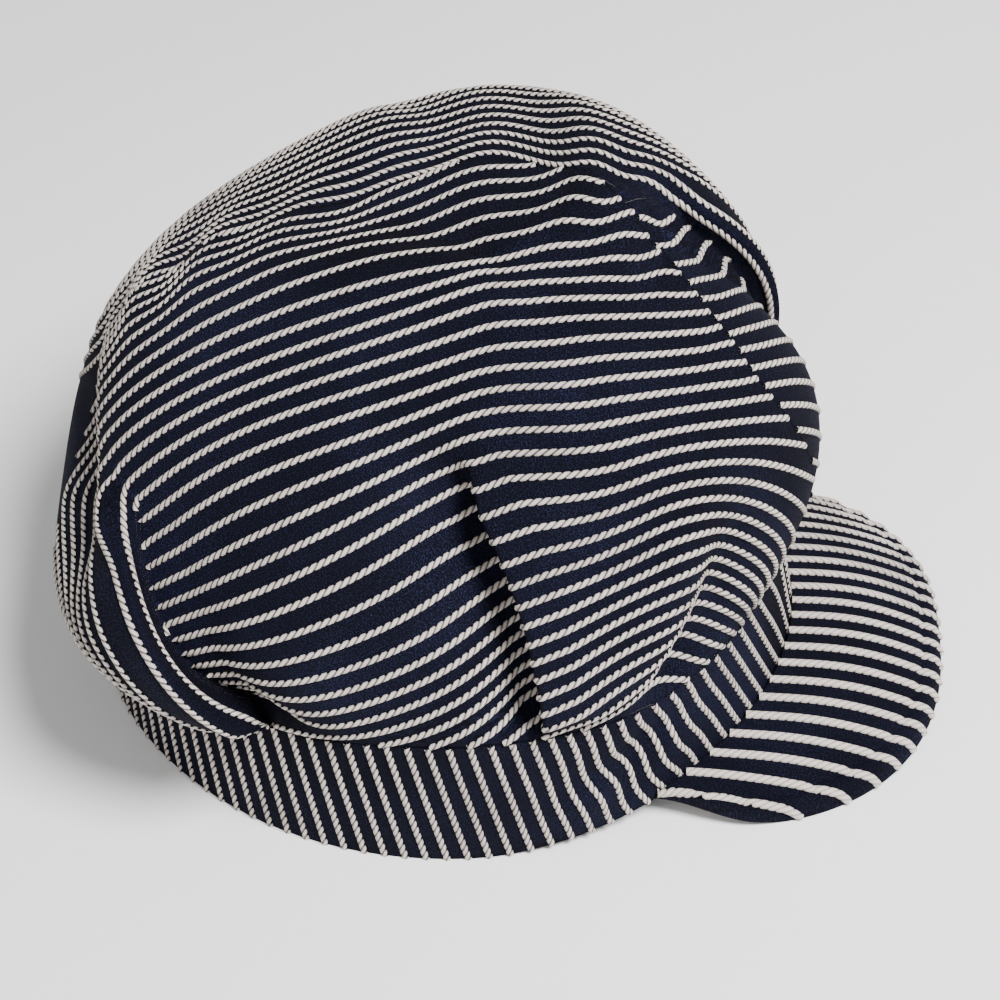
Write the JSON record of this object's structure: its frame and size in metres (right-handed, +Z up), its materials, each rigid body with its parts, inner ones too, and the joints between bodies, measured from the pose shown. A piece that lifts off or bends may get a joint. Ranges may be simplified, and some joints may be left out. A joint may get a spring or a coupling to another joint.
{
  "type": "railroad engineer cap",
  "caption": "Soft striped cotton work cap with a puffy two-half crown, a plain back gore, a deep band and a stitched peak.",
  "frame": {"origin": "middle of the bounding box on the surface that the cap rests on", "axes": "+Z up, the peak points to -Y, the wearer's right side is at -X"},
  "size_m": [0.196, 0.2608, 0.1443],
  "materials": {
    "crown_cloth": "navy twill with raised cream cords, matt",
    "plain_cloth": "plain navy twill, matt",
    "band_cloth": "navy twill with raised cream cords, matt",
    "peak_cloth": "cream and navy striped twill over a stiff core, matt"
  },
  "bodies": {
    "root": {"crown_right": "crown_cloth", "crown_left": "crown_cloth", "back_gore": "plain_cloth", "band": "band_cloth", "peak": "peak_cloth"}
  },
  "joints": []
}
